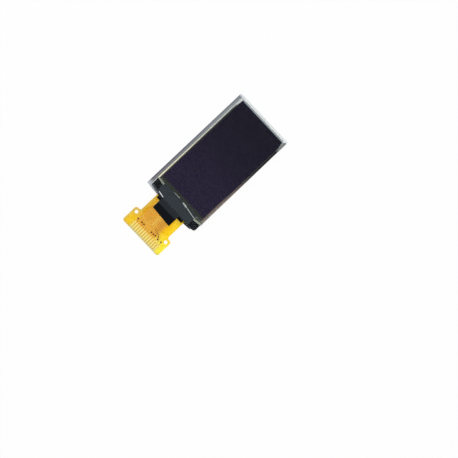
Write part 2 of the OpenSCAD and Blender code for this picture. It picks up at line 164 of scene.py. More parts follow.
class Finish(Nodes):
    """A material in the making. Its x, y and z are millimetres in the module's frame."""

    def __init__(self, name):
        self.material = bpy.data.materials.new(name)
        self.material.use_nodes = True
        super().__init__(self.material.node_tree)
        coordinates = self.node("ShaderNodeTexCoord").outputs
        self.point = self.node(
            "ShaderNodeVectorMath",
            {"operation": "SCALE"},
            {0: coordinates["Object"], "Scale": 1 / MM},
        ).outputs[0]
        self.x, self.y, self.z = self.split(self.point)
        self.up = self.split(coordinates["Normal"])[2]

    def band(self, value, low, high, soft):
        """1 between low and high, with soft shoulders."""
        return self.step(value, low - soft, low + soft) * self.step(value, high + soft, high - soft)

    def area(self, x_ends, y_ends, soft):
        """1 inside an upright rectangle, with soft edges."""
        return self.band(self.x, *x_ends, soft) * self.band(self.y, *y_ends, soft)

    def dot(self, x, y, radius):
        """1 inside an upright round spot."""
        flat = self.node("ShaderNodeCombineXYZ", inputs={0: self.x, 1: self.y, 2: 0.0}).outputs[0]
        away = self.node(
            "ShaderNodeVectorMath", {"operation": "DISTANCE"}, {0: flat, 1: (x, y, 0)}
        ).outputs["Value"]
        return self.step(Value(self, away), radius * 1.15, radius * 0.85)

    def mix(self, share, first, second):
        """A colour that goes from the first to the second."""
        made = self.node("ShaderNodeMix", {"data_type": "RGBA"}, {0: share, 6: first, 7: second})
        return made.outputs[2]

    def paint(self, base, *coats):
        """A colour with others laid on it in order, each as its mask and its colour."""
        for mask, shade in coats:
            base = self.mix(mask, base, shade)
        return base

    def noise(self, size, detail=2, stretch=(1, 1, 1), seed=0):
        """Soft noise about 0.5 whose blotches are about that many millimetres wide."""
        place = self.node(
            "ShaderNodeVectorMath",
            {"operation": "MULTIPLY_ADD"},
            {0: self.point, 1: [s / size for s in stretch], 2: (seed, seed, seed)},
        ).outputs[0]
        made = self.node(
            "ShaderNodeTexNoise", inputs={"Vector": place, "Scale": 1, "Detail": detail}
        )
        return Value(self, made.outputs[0])

    def backfacing(self):
        return Value(self, self.node("ShaderNodeNewGeometry").outputs["Backfacing"])

    def underside(self):
        """1 on faces that look down."""
        return self.step(self.up, -0.5, -0.8)

    def sheen(self):
        """The part of a clear surface's gloss that grows towards grazing angles."""
        gloss = Value(self, self.node("ShaderNodeFresnel", inputs={"IOR": 1.5}).outputs[0])
        face_on = 0.038
        return (gloss - face_on) * 0.8 * (1 - self.backfacing())

    def bump(self, height, strength=1.0):
        """A bump from a height in millimetres."""
        sockets = {"Height": height, "Distance": MM, "Strength": strength}
        return self.node("ShaderNodeBump", inputs=sockets).outputs[0]

    def surface(self, **sockets):
        """A Principled shader; a socket's name is written with underscores."""
        inputs = {key.replace("_", " "): value for key, value in sockets.items()}
        return self.node("ShaderNodeBsdfPrincipled", inputs=inputs).outputs[0]

    def clear(self, tint):
        return self.node("ShaderNodeBsdfTransparent", inputs={0: tint}).outputs[0]

    def blend(self, share, first, second):
        return self.node("ShaderNodeMixShader", inputs={0: share, 1: first, 2: second}).outputs[0]

    def done(self, shader):
        self.node("ShaderNodeOutputMaterial", inputs={0: shader})
        return self.material


def scaled(shade, factor):
    """A colour made darker or lighter."""
    return [min(c * factor, 1) for c in shade]


def dress(material, *nodes):
    """Gives CAD nodes a finish through their material slots."""
    for name in nodes:
        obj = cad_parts[name]
        if not obj.material_slots:
            obj.data.materials.append(material)
        for slot in obj.material_slots:
            slot.material = material


# Meshes ---------------------------------------------------------------------


def linked(name, data):
    """A new object in the scene."""
    obj = bpy.data.objects.new(name, data)
    bpy.context.scene.collection.objects.link(obj)
    return obj


def piece(name, mesh, material, slot, *nodes):
    """Links a new piece that rides on the module and stands for CAD nodes."""
    obj = linked(name, mesh)
    mesh.materials.append(material)
    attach(obj, BODY)
    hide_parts(*nodes)
    return obj


def sheet_mesh(name, rows, keep=None):
    """A mesh over rows of points in millimetres, keeping the cells that keep(i, j) allows."""
    mesh = bpy.data.meshes.new(name)
    build = bmesh.new()
    verts = {}

    def vert(i, j):
        if (i, j) not in verts:
            verts[i, j] = build.verts.new(Vector(rows[i][j]) * MM)
        return verts[i, j]

    for i in range(len(rows) - 1):
        for j in range(len(rows[0]) - 1):
            if keep is None or keep(i, j):
                cell = (vert(i, j), vert(i, j + 1), vert(i + 1, j + 1), vert(i + 1, j))
                build.faces.new(cell)
    bmesh.ops.recalc_face_normals(build, faces=build.faces)
    if sum(f.normal.z for f in build.faces) < 0:
        bmesh.ops.reverse_faces(build, faces=build.faces)
    build.to_mesh(mesh)
    build.free()
    mesh.shade_smooth()
    return mesh


def thicken(obj, thickness, soft):
    """Gives a sheet its thickness below its upper face, and softens its cut edges."""
    solid = obj.modifiers.new("Thickness", "SOLIDIFY")
    solid.thickness, solid.offset = thickness, -1
    edge = obj.modifiers.new("Soft edges", "BEVEL")
    edge.width, edge.segments = soft, 2
    edge.limit_method, edge.angle_limit = "ANGLE", math.radians(50)


def spread(low, high, count):
    """Evenly spread values from low to high, over that many gaps."""
    return [low + (high - low) * i / count for i in range(count + 1)]


def smooth(t):
    """Rises smoothly from 0 to 1 while t does, and stays level outside."""
    t = min(max(t, 0), 1)
    return t * t * (3 - 2 * t)


def wave(x, y, size, seed):
    """Gentle unevenness from -1 to 1."""
    return noise.noise(Vector((x / size, y / size, seed)))


# Settings -------------------------------------------------------------------


def colour(name, description, default):
    return bpy.props.FloatVectorProperty(
        name=name,
        description=description,
        default=default,
        subtype="COLOR",
        size=3,
        min=0,
        max=1,
    )


def number(name, description, default, **kind):
    return bpy.props.FloatProperty(name=name, description=description, default=default, **kind)


def length(name, description, default):
    return number(name, description, default, unit="LENGTH", min=0, precision=5)


def angle(name, description, degrees):
    return number(name, description, math.radians(degrees), unit="ROTATION")


def power(name, description, default):
    return number(name, description, default, unit="POWER", min=0)


def group(kind, name, description):
    return bpy.props.PointerProperty(type=kind, name=name, description=description)


class GlassLook(bpy.types.PropertyGroup):
    """Colours of the glass, the seal and what is sealed in."""

    tint: colour("Glass tint", "What the glass lets through", (0.99, 0.99, 0.975))
    edge: colour("Cut edge", "Ground edge of the glass", (0.50, 0.56, 0.53))
    seal: colour("Seal, tail end", "Cured seal between the plates", (0.66, 0.63, 0.47))
    seal_far: colour("Seal, far end", "Cured seal away from the tail", (0.36, 0.38, 0.33))
    rim: colour("Rim", "Bonded rim, seen from behind", (0.28, 0.225, 0.14))
    # Painted highlight: the cream rim is etched glass that also stands for light caught on the
    # cavity's sloped wall.
    wall: colour("Cavity wall", "Etched rim of the cap's cavity", (0.96, 0.92, 0.78))
    bead: colour("Desiccant", "Dried desiccant paste", (1.0, 0.97, 0.88))
    cathode_far: colour(
        "Cathode, far end", "Evaporated metal away from the tail", (0.335, 0.25, 0.17)
    )
    cathode_near: colour(
        "Cathode, tail end", "Evaporated metal near the tail", (0.60, 0.575, 0.51)
    )


class FilmLook(bpy.types.PropertyGroup):
    """Colours of the polariser and the clear film on it."""

    polariser: colour("Polariser", "Far part of the dark face", (0.0055, 0.0042, 0.0135))
    # Painted sheen: the purple cast towards the tail stands for light the polariser catches there,
    # not a colour of its own.
    polariser_sheen_low: colour(
        "Polariser, tail end", "Purple cast towards the tail", (0.0165, 0.0105, 0.033)
    )
    border: colour("Border", "Polariser over the seal at the tail end", (0.034, 0.041, 0.028))
    # Painted shade: this grey-blue stands for the shadow under the film where it stands over the
    # side.
    overhang_shadow: colour(
        "Overhang", "Clear film where it stands over the side", (0.185, 0.19, 0.21)
    )
    overhang_rim: colour("Overhang rim", "Outer edge of the clear film", (0.15, 0.155, 0.20))


class FlexLook(bpy.types.PropertyGroup):
    """Colours of the tail."""

    amber: colour("Amber", "Polyimide over the traces", (0.74, 0.29, 0.004))
    amber_right: colour("Yellow amber", "Polyimide along the right side", (1.0, 0.86, 0.010))
    copper: colour("Copper", "Etched foil under the film", (0.74, 0.38, 0.05))
    gold: colour("Gold", "Plated contacts", (1.0, 0.81, 0.22))
    via: colour("Via", "Drilled and plated hole", (0.10, 0.012, 0.001))
    trace_relief: length(
        "Trace relief", "How far the cover film rises over a trace", 0.004 * MM
    )


class TapeLook(bpy.types.PropertyGroup):
    """Colours and edges of the tapes."""

    # Painted sheen: this grey stands for light the black tape reflects over the glass; the tape
    # itself is black.
    slate_sheen: colour("Slate", "Front tape on the glass", (0.0260, 0.0330, 0.0385))
    black: colour("Black", "Glossy parts of both tapes", (0.0028, 0.0038, 0.0055))
    # Painted highlight: the pale line stands for light on the ridge where the tape steps over the
    # polariser's edge, not whitened tape.
    crease: colour("Crease", "Whitened crease of the front tape", (0.56, 0.58, 0.54))
    skew: length("Skew", "How far the tab's end is cut askew", 0.4 * MM)
    soft: length("Edge softness", "Rounding of the tapes' cut edges", 0.015 * MM)


class StageLook(bpy.types.PropertyGroup):
    """Floor, light and camera."""

    key: power("Key", "Power of the main lamp", 0.85)
    fill: power("Fill", "Power of the second lamp", 0.5)
    under: power("Under", "Power of the lamp below the floor", 3.0)
    floor_white: number(
        "Floor white",
        "Share of plain white in the floor seen directly",
        0.96,
        subtype="FACTOR",
        min=0,
        max=1,
    )
    distance: length("Camera distance", "Camera to the aim point", 287.555 * MM)
    lens: number("Lens", "Focal length in millimetres", 100, unit="CAMERA", min=1)
    tilt: angle("Tilt", "Camera's lean from straight above", 6.838)
    lean: angle("Lean", "Direction of the lean", -122.34)
    roll: angle("Roll", "Turn of the picture", 46.236)


class ModuleLook(bpy.types.PropertyGroup):
    """All the settings of the module's looks."""

    glass: group(GlassLook, "Glass", "Glass, seal and sealed parts")
    film: group(FilmLook, "Films", "Polariser and clear film")
    flex: group(FlexLook, "Tail", "Flexible tail")
    tape: group(TapeLook, "Tapes", "Front and rear tape")
    stage: group(StageLook, "Stage", "Floor, light and camera")


# Glass ----------------------------------------------------------------------

CAVITY_X, CAVITY_Y = 6.48, 12.38


def metal_shade(f, look):
    """The evaporated metal's colour along the module."""
    return f.mix(f.step(f.y, 8, -9), look.cathode_far, look.cathode_near)


def glass_finish(name, look, cap=False):
    """Clear plate with frosted side faces.

    The cap's back shows the etched rim of its cavity, bright with a painted highlight for the light
    its sloped wall catches; the substrate's back, the metal.
    """
    f = Finish(name)
    side = f.step(abs(f.up), 0.8, 0.4)
    grain = f.noise(0.06, 3)

    def cavity(grow, soft):
        """1 inside the cavity's outline, made that much larger all round."""
        x, y = CAVITY_X + grow, CAVITY_Y + grow
        return f.area((-x, x), (-y, y), soft)

    if cap:
        # Etched rim of the cavity, painted bright as a highlight of its sloped wall, on the cap's
        # flat back face.
        mark = cavity(0.1, 0.05) * (1 - cavity(-0.1, 0.05)) * f.underside()
        shade, amount = look.wall, 0.8
    else:
        mark = f.area((-6.62, 6.62), (-12.95, 12.5), 0.04) * f.underside()
        shade, amount = f.mix(cavity(-0.03, 0.1), look.rim, metal_shade(f, look)), 0.96
    opacity = f.sheen() * (1 - side) + side * (0.42 + 0.3 * grain)
    opacity = f.math("MAXIMUM", opacity, mark * amount)
    solid = f.math("MAXIMUM", side, mark)
    surface = f.surface(
        Base_Color=f.paint((0.95, 0.97, 0.96), (side, look.edge), (mark, shade)),
        Metallic=1 - solid,
        Roughness=0.03 + solid * 0.42,
        Normal=f.bump(solid * grain * 0.01, 0.6),
    )
    return f.done(f.blend(opacity, f.clear(look.tint), surface))


def seal_finish(look):
    """Mottled, half clear resin, whose underside takes the bonded rim's colour."""
    f = Finish("Seal resin")
    mottle = f.noise(0.3, 3)
    near = f.step(f.y, 9, -12)
    under = f.underside()
    base = f.paint(
        look.seal_far,
        (near, look.seal),
        (f.step(mottle, 0.4, 0.7) * 0.3, (0.30, 0.28, 0.19)),
        (under, look.rim),
    )
    surface = f.surface(
        Base_Color=base, Roughness=0.35 + 0.2 * mottle, Normal=f.bump(mottle * 0.01, 0.4)
    )
    opacity = f.math("MAXIMUM", 0.62 + 0.3 * mottle, under * 0.96)
    return f.done(f.blend(opacity, f.clear((0.93, 0.92, 0.84)), surface))


class MODULE_OT_glass(bpy.types.Operator):
    """Finish the two glass plates and the seal between them"""

    bl_idname = "module.glass"
    bl_label = "Glass and seal"

    def execute(self, context):
        look = context.scene.module_look.glass
        dress(glass_finish("Substrate glass", look), "substrate_glass")
        dress(glass_finish("Cap glass", look, cap=True), "cap_glass")
        dress(seal_finish(look), "seal_frame")
        return {"FINISHED"}


# Sealed parts ---------------------------------------------------------------


def bead_path():
    """Middle line of the desiccant bead: two turns inwards, as points about 0.1 mm apart."""
    left, right, low, high = -4.9, 4.55, -10.0, 11.25
    pitch, bend, last_run, stride = 1.33, 1.0, 2.1, 0.12
    inner_left, inner_right = left + pitch, right - pitch
    inner_low, inner_high = low + pitch, high - pitch
    bends = (
        (left + bend, high - bend, 90),
        (left + bend, low + bend, 180),
        (right - bend, low + bend, 270),
        (right - bend, inner_high - bend, 0),
        (inner_left + bend, inner_high - bend, 90),
        (inner_left + bend, inner_low + bend, 180),
        (inner_right - bend, inner_low + bend, 270),
    )
    stops = [Vector((right - bend, high))]
    for x, y, start in bends:
        for k in range(10):
            a = math.radians(start + 10 * k)
            stops.append(Vector((x + bend * math.cos(a), y + bend * math.sin(a))))
    stops.append(Vector((inner_right, inner_high - last_run)))
    points = [stops[0]]
    for a, b in zip(stops, stops[1:]):
        count = max(int((b - a).length / stride), 1)
        points += [a.lerp(b, (k + 1) / count) for k in range(count)]
    return points


def bead_mesh(name):
    """Sweeps the round-backed bead along its path, with a blunt start and a drawn-out end."""
    width, crown, taper, around = 1.13, 0.122, 2.2, 12
    floor_z, clearance = BEAD_LOW.z + 0.003, 0.004
    points = bead_path()
    along = [0]
    for a, b in zip(points, points[1:]):
        along.append(along[-1] + (b - a).length)
    build = bmesh.new()
    rings = []
    for k, point in enumerate(points):
        ahead = (points[min(k + 1, len(points) - 1)] - points[max(k - 1, 0)]).normalized()
        side = Vector((-ahead.y, ahead.x))
        left = along[-1] - along[k]
        blunt = math.sqrt(1 - max(1 - along[k] / (width / 2), 0) ** 2)
        size = max(blunt, 0.05) * max(min(left / taper, 1), 0.02) ** 0.8
        half = width / 2 * size * (1 + 0.02 * wave(along[k], 0, 0.9, 4)) - clearance
        ring = []
        for j in range(around + 1):
            a = math.pi * j / around
            place = point + side * (half * math.cos(a))
            ring.append((place.x, place.y, floor_z + crown * size**0.5 * math.sin(a)))
        rings.append([build.verts.new(Vector(p) * MM) for p in ring])
    for one, two in zip(rings, rings[1:]):
        for j in range(around):
            build.faces.new((one[j], one[j + 1], two[j + 1], two[j]))
        build.faces.new((one[around], one[0], two[0], two[around]))
    build.faces.new(rings[0])
    build.faces.new(rings[-1])
    bmesh.ops.recalc_face_normals(build, faces=build.faces)
    mesh = bpy.data.meshes.new(name)
    build.to_mesh(mesh)
    build.free()
    mesh.shade_smooth()
    mesh.set_sharp_from_angle(angle=math.radians(50))
    return mesh


class MODULE_OT_sealed(bpy.types.Operator):
    """Finish what is sealed in: desiccant bead, electrodes and organic layer"""

    bl_idname = "module.sealed"
    bl_label = "Sealed parts"

    def execute(self, context):
        look = context.scene.module_look.glass
        f = Finish("Desiccant paste")
        lumps, grain = f.noise(0.7, 2, (1, 1, 0)), f.noise(0.06, 3)
        surface = f.surface(
            Base_Color=f.mix(f.step(lumps, 0.35, 0.7), look.bead, scaled(look.bead, 0.96)),
            Roughness=0.62 + 0.2 * grain,
            Normal=f.bump(lumps * 0.02 + grain * 0.008, 0.6),
        )
        name = "desiccant_bead_swept"
        piece(name, bead_mesh(name), f.done(surface), "bead", "desiccant_bead")

        f = Finish("Cathode metal")
        haze = f.noise(2.5, 2, (1, 0.4, 1))
        surface = f.surface(
            Base_Color=f.mix(haze * 0.25, metal_shade(f, look), scaled(look.cathode_far, 0.9)),
            Metallic=0.55,
            Roughness=0.36 + 0.12 * haze,
            Normal=f.bump(f.noise(0.4, 3, (0.15, 1, 1)) * 0.004, 0.4),
        )
        dress(f.done(surface), "cathode_strips")

        f = Finish("Indium tin oxide")
        haze = f.noise(0.5, 2)
        surface = f.surface(
            Base_Color=f.mix(haze, (0.30, 0.32, 0.36), (0.38, 0.38, 0.38)),
            Metallic=0.7,
            Roughness=0.2 + 0.1 * haze,
        )
        dress(f.done(surface), "anode_lines")

        f = Finish("Organic film")
        haze = f.noise(1.5, 2)
        base = f.mix(0.15 + haze * 0.25, metal_shade(f, look), (0.24, 0.18, 0.11))
        surface = f.surface(Base_Color=base, Roughness=0.2 + 0.1 * haze)
        dress(f.done(surface), "organic_layer")
        return {"FINISHED"}


# Polariser and clear film ---------------------------------------------------


def polariser_finish(look):
    """Dark face with pale edges and a painted purple sheen towards the tail; of the pale wedges at
    two of its corners, the far right one is a painted reflection.
    """
    f = Finish("Polariser")
    # Painted sheen: purple laid on towards the tail, as if the face caught more light there.
    low = f.step(f.y, 10, -12) * (0.85 + 0.3 * f.noise(9, 1))
    grain = f.noise(0.25, 3)
    low_edge = f.step(f.y, CAP_LOW.y + 1.0, CAP_LOW.y + 0.1)
    # Painted reflection: the pinkish strip down the lower right edge carries on the glass edge's
    # painted reflection from the film.
    lower_right_reflection = f.step(f.x, POL_HIGH.x - 0.4, POL_HIGH.x - 0.1) * f.step(f.y, -3.5, -9)
    far_edge = f.step(f.y, POL_HIGH.y - 0.36, POL_HIGH.y - 0.14)
    # Painted reflection: the pale wedge at the far right corner stands for light the curved film
    # reflects there.
    far_corner_reflection = f.step(f.x + 0.2 * f.y, 8.80, 8.96) * f.step(f.y, 9.6, 10.4)
    corner = f.step(f.x, -5.2, -5.35) * f.step(f.y + 0.154 * f.x, -14.17, -14.26)
    base = f.paint(
        look.polariser,
        (low, look.polariser_sheen_low),
        (low_edge, look.border),
        (lower_right_reflection, (0.19, 0.15, 0.125)),
        (far_edge, (0.36, 0.41, 0.46)),
        (far_corner_reflection, (0.36, 0.38, 0.38)),
        (corner, (0.27, 0.29, 0.23)),
    )
    surface = f.surface(
        Base_Color=base,
        Roughness=0.16 + 0.06 * grain,
        Normal=f.bump(f.noise(4, 2) * 0.01, 0.3),
        Specular_IOR_Level=0.1,
    )
    return f.done(surface)


def clear_film_finish(look):
    """Clear film with painted shade where it stands over the left side, a painted reflection and
    edge reflection on the right, and light and dark wedges beside the front tape.
    """
    f = Finish("Clear film")
    scuff = f.noise(0.5, 4, (1, 0.25, 1))
    flat = f.step(abs(f.up), 0.35, 0.7)
    near, light = f.step(f.y, 9, -12), f.step(f.y, 5, -9)
    before_far_edge = f.step(f.y, 13.0, 12.8)
    far = f.step(f.y, GLASS_HIGH.y - 0.5, GLASS_HIGH.y + 0.1)
    inside = f.area((-7.95, 7.15), (-16.0, 13.2), 0.02)

    # The part standing over the left side, painted with the grey-blue shade of its shadow on the
    # floor below, which pales at the tail's end, with the glass edge and the dark gap that show
    # through it.
    left = f.step(f.x, GLASS_LOW.x + 0.12, GLASS_LOW.x - 0.16)
    rim_left = f.step(f.x, FILM_LOW.x + 0.4, FILM_LOW.x + 0.05)
    line_left = f.band(f.x, GLASS_LOW.x - 0.06, POL_LOW.x - 0.16, 0.06)
    inner_left = f.band(f.x, POL_LOW.x - 0.18, POL_LOW.x + 0.04, 0.04)
    corner_left = f.step(f.x - 0.1 * f.y, -7.84, -8.0)
    corner_left = corner_left * f.step(f.x, -7.22, -7.10) * f.step(f.y, 9.9, 11.4)
    # The painted shadow pales towards the tail's end.
    tip = left * f.step(f.y, -14.4, -16.0)
    overhang_shadow_far = f.mix(f.step(f.x, -7.9, -7.4), (0.175, 0.20, 0.23), (0.26, 0.295, 0.31))
    overhang_shadow_colour = f.mix(near, overhang_shadow_far, scaled(look.overhang_shadow, 0.8))
    rim_shade = f.mix(near, look.overhang_rim, scaled(look.overhang_rim, 0.6))
    line_shade = f.mix(near, (0.28, 0.31, 0.27), (0.98, 0.93, 0.64))

    # The painted reflection of the glass edge on the right, dark in the middle and pinkish towards
    # the tail, which ends askew beside the front tape.
    right = f.step(f.x, POL_HIGH.x - 0.10, POL_HIGH.x - 0.02)
    askew_right = f.y - 0.19 * f.x
    edge_reflection = right * f.step(f.x, 7.32, 7.2) * f.step(askew_right, -15.30, -15.22)
    edge_reflection = edge_reflection * before_far_edge
    edge_reflection_colour = f.mix(light, (0.012, 0.011, 0.012), (0.235, 0.18, 0.155))
    # Painted reflection: the pale patch at the far right stands for light the film reflects where
    # it curves at the corner.
    far_right_reflection = right * f.step(f.y, 9.8, 10.8) * before_far_edge

    # The ledge, where the film bridges from the polariser's edge down to the glass.
    ledge = f.step(f.y, POL_LOW.y + 0.05, POL_LOW.y - 0.1)
    bar_end = (5.1, 5.25)
    strip = ledge * f.step(f.x, *bar_end) * f.step(askew_right, -15.02, -14.94)
    on_right = f.step(f.x, -1, 1)
    below = -14.79 - 0.54 * on_right + 0.17 * abs(f.x) - f.y
    gap = ledge * f.step(abs(f.x), *bar_end) * (1 - left) * f.step(below, 0.03, -0.05)
    foot_left = ledge * f.step(f.x, -4.4, -5.0) * (1 - left)
    askew_left = f.y + 0.21 * f.x
    foot = foot_left * f.step(askew_left, -16.68, -16.82)
    sole = foot_left * f.step(askew_left, -17.06, -17.30)

    base, opacity = (0.6, 0.62, 0.64), f.sheen() * 0.6 * flat + 0.004
    for mask, amount, shade in (
        (left, 0.66 + 0.1 * scuff, overhang_shadow_colour),
        (rim_left, 0.72 + 0.2 * near, rim_shade),
        (line_left * (1 - ledge), 0.35 + 0.3 * near, line_shade),
        (inner_left * (1 - ledge), 0.93, (0.014, 0.013, 0.010)),
        (corner_left, 0.92, (0.68, 0.71, 0.71)),
        (far, 0.2, (0.42, 0.50, 0.57)),
        (edge_reflection, 0.97 - 0.25 * light, edge_reflection_colour),
        (far_right_reflection, 0.78, (0.25, 0.26, 0.26)),
        (gap, 0.85, f.mix(on_right, (0.235, 0.265, 0.21), (0.36, 0.40, 0.32))),
        (strip, 0.95, (0.024, 0.028, 0.017)),
        (foot, 0.22, (0.20, 0.23, 0.27)),
        (sole, 0.8, (0.58, 0.62, 0.66)),
        (tip, 0.55, (0.50, 0.53, 0.60)),
        ((1 - flat) * (1 - inside), 0.45, (0.5, 0.55, 0.6)),
    ):
        base = f.mix(mask, base, shade)
        opacity = opacity * (1 - mask) + mask * amount
    surface = f.surface(
        Base_Color=base,
        Roughness=0.14 + 0.1 * scuff,
        Normal=f.bump(scuff * 0.006, 0.4),
        Specular_IOR_Level=0.12,
    )
    return f.done(f.blend(opacity, f.clear((0.99, 0.995, 1)), surface))


class MODULE_OT_films(bpy.types.Operator):
    """Finish the dark polariser and the clear film laid on it"""

    bl_idname = "module.films"
    bl_label = "Polariser and clear film"

    def execute(self, context):
        look = context.scene.module_look.film
        dress(polariser_finish(look), "polariser")
        dress(clear_film_finish(look), "protective_film")
        return {"FINISHED"}


# Chip and ledge -------------------------------------------------------------


class MODULE_OT_ledge(bpy.types.Operator):
    """Finish the driver chip, the bond films and the traces on the ledge"""

    bl_idname = "module.ledge"
    bl_label = "Chip and ledge"

    def execute(self, context):
        f = Finish("Bare silicon")
        grind = f.noise(0.04, 2, (0.1, 1, 1))
        surface = f.surface(
            Base_Color=f.mix(grind, (0.10, 0.10, 0.115), (0.15, 0.15, 0.165)),
            Metallic=0.5,
            Roughness=0.22 + 0.2 * grind,
            Normal=f.bump(grind * 0.004, 0.5),
        )
        dress(f.done(surface), "driver_chip")

        f = Finish("Conductive bond film")
        balls = f.noise(0.03, 1)
        surface = f.surface(
            Base_Color=f.mix(f.step(balls, 0.5, 0.7), (0.42, 0.30, 0.17), (0.62, 0.52, 0.36)),
            Roughness=0.4 + 0.2 * balls,
            Normal=f.bump(balls * 0.004, 0.5),
        )
        dress(f.done(surface), "chip_bond_film", "flex_bond_film")

        f = Finish("Sputtered trace")
        haze = f.noise(0.2, 2)
        surface = f.surface(
            Base_Color=f.mix(haze, (0.07, 0.075, 0.085), (0.12, 0.12, 0.13)),
            Metallic=0.8,
            Roughness=0.25 + 0.15 * haze,
        )
        dress(f.done(surface), "ledge_traces")
        return {"FINISHED"}


# Tail -----------------------------------------------------------------------

LANE_PITCH = 0.44
LANE_SHIFT = -0.8
LANES_REACH = 6.8
VIA_SPOT = 0.2


def trace_relief(f):
    """1 over each trace of the tail, 0 between, along the neck and out over the fan."""
    pin_middle = (PIN_FIRST[0].x + PIN_LAST[1].x) / 2
    lane_middle = pin_middle + LANE_SHIFT
    fan = f.step(f.y, PIN_ROOT + 1.9, PIN_ROOT + 0.7)
    middle = lane_middle + fan * (pin_middle - lane_middle)
    local_pitch = LANE_PITCH + fan * (PIN_PITCH - LANE_PITCH)
    place = (f.x - middle) / local_pitch
    ridge = abs(f.math("FRACT", place + 100.5) - 0.5) * 2
    return f.step(ridge, 0.55, 0.2) * f.step(abs(place), LANES_REACH, LANES_REACH - 0.3)


def via_spots():
    """Middles of the vias that show as dark spots: six on the fan, two beside the lanes."""
    left_of_pin, above_pins = 0.08, 0.75
    first = (PIN_FIRST[0].x + PIN_FIRST[1].x) / 2 - left_of_pin
    row = PIN_ROOT + above_pins
    on_fan = [(first + i * PIN_PITCH, row) for i in (0, 2, 3, 7, 8, 12)]
    return on_fan + [(1.9, row + 0.05), (2.9, row - 0.1)]


def vias_and_painted_shadows(f):
    """1 on the vias, and nearly so on two short slanted painted shadows where lines change sides.
    """
    spots = 0.0
    for x, y in via_spots():
        spots = f.dot(x, y, VIA_SPOT) + spots
    # Painted shadows: two short slanted dark marks where lines change sides.
    first = f.band(f.x + f.y, -20.32, -20.12, 0.05) * f.band(f.x, 1.75, 2.5, 0.05)
    second = f.band(f.y + 1.9 * f.x, -17.95, -17.60, 0.09) * f.band(f.x, 2.45, 2.95, 0.05)
    return f.math("MINIMUM", spots + (first + second) * 0.8, 1)


def amber_finish(name, look, opacity, cover):
    """Translucent amber film. A cover is 1 on the front and -1 on the back; the base is 0."""
    f = Finish(name)
    mottle, grain = f.noise(1.1, 3, (1, 0.6, 1)), f.noise(0.09, 3)
    head = f.step(f.y, BASE_LOW.y + 4.6, BASE_LOW.y + 2.2)
    root = f.step(f.y, -18.2, -16.8)
    right = f.step(f.x, 1.2, 3.4 + 0.6 * head)
    left = f.step(f.x, -3.3, -3.9)
    window = f.step(f.y, PIN_ROOT + 0.1, PIN_ROOT - 0.2)
    between_pins = window * f.band(f.x, -3.8, 4.2, 0.1)
    pale_left = f.math(
        "MAXIMUM", f.step(f.x, -4.0, -4.5) * (1 - head), f.step(f.x, -5.2, -5.8)
    )
    pale = f.math("MAXIMUM", pale_left, f.step(f.y, -25.2, -25.7))
    base = f.paint(
        look.amber,
        (right, look.amber_right),
        (left * (1 - head), (0.66, 0.40, 0.025)),
        (head * left, (0.90, 0.70, 0.004)),
        (head * right * 0.85, (1.0, 0.98, 0.06)),
        (root * 0.5, (0.40, 0.27, 0.03)),
        (between_pins, (0.72, 0.47, 0.06)),
        (pale * 0.85, (0.66, 0.58, 0.30)),
        (f.step(mottle, 0.35, 0.75) * 0.2, (0.62, 0.30, 0.008)),
    )
    opacity = opacity + between_pins * 0.48
    height = grain * 0.002
    if cover:
        relief, dark = trace_relief(f), vias_and_painted_shadows(f)
        height = height + relief * (look.trace_relief / MM)
        stripe = (1.0, 0.74, 0.20) if cover > 0 else (0.42, 0.15, 0.004)
        neck = f.step(f.y, -22.8, -22.4)
        base = f.paint(
            base,
            (relief * 0.85 * (1 - window), stripe),
            (neck * f.band(f.x, -3.82, -3.62, 0.06) * 0.6, (0.60, 0.30, 0.002)),
            (dark, look.via),
        )
        opacity = opacity + relief * 0.35
        opacity = opacity + (1 - opacity) * dark
    else:
        broad = f.band(f.x, 0.42, 1.92, 0.08) * f.step(f.y, -22.7, -22.3)
        base = f.mix(broad, base, (0.98, 0.56, 0.015))
        opacity = opacity + 0.42 * broad
    if cover < 0:
        under = f.underside()
        taped = f.area((-3.15, 2.35), (-19.1, -17.35), 0.12)
        base = f.paint(
            base,
            (under * (1 - relief) * (1 - dark), (0.62, 0.29, 0.014)),
            (taped, (0.055, 0.05, 0.025)),
        )
        opacity = opacity + 0.35 * under * (1 - dark)
        opacity = f.math("MINIMUM", opacity + 0.4 * taped, 1)
    surface = f.surface(
        Base_Color=base,
        Roughness=0.32 + 0.16 * grain,
        Normal=f.bump(height, 0.8),
        Specular_IOR_Level=0.3,
    )
    lemon = f.mix(head * right, (1, 0.86, 0.30), (1, 0.96, 0.44))
    layer = f.blend(opacity, f.clear(lemon), surface)
    return f.done(f.blend(f.backfacing(), layer, f.clear((1, 1, 1))))


class MODULE_OT_flex(bpy.types.Operator):
    """Finish the tail: base, copper on both sides, vias and cover films"""

    bl_idname = "module.flex"
    bl_label = "Tail"

    def execute(self, context):
        look = context.scene.module_look.flex
        dress(amber_finish("Amber front cover", look, 0.32, 1), "front_coverlay")
        dress(amber_finish("Amber back cover", look, 0.30, -1), "back_coverlay")
        dress(amber_finish("Amber base film", look, 0.42, 0), "flex_base")

        f = Finish("Etched copper")
        haze = f.noise(0.35, 3, (1, 0.2, 1))
        surface = f.surface(
            Base_Color=f.mix(haze, look.copper, scaled(look.copper, 1.3)),
            Metallic=0.15,
            Roughness=0.42 + 0.2 * haze,
            Normal=f.bump(f.noise(0.03, 2) * 0.002, 0.6),
        )
        dress(f.done(surface), "front_foil", "back_foil")

        f = Finish("Via plating")
        haze = f.noise(0.08, 2)
        surface = f.surface(
            Base_Color=f.mix(haze, look.via, scaled(look.via, 1.8)),
            Roughness=0.4 + 0.2 * haze,
            Metallic=0.3,
        )
        dress(f.done(surface), "via_posts")
        return {"FINISHED"}


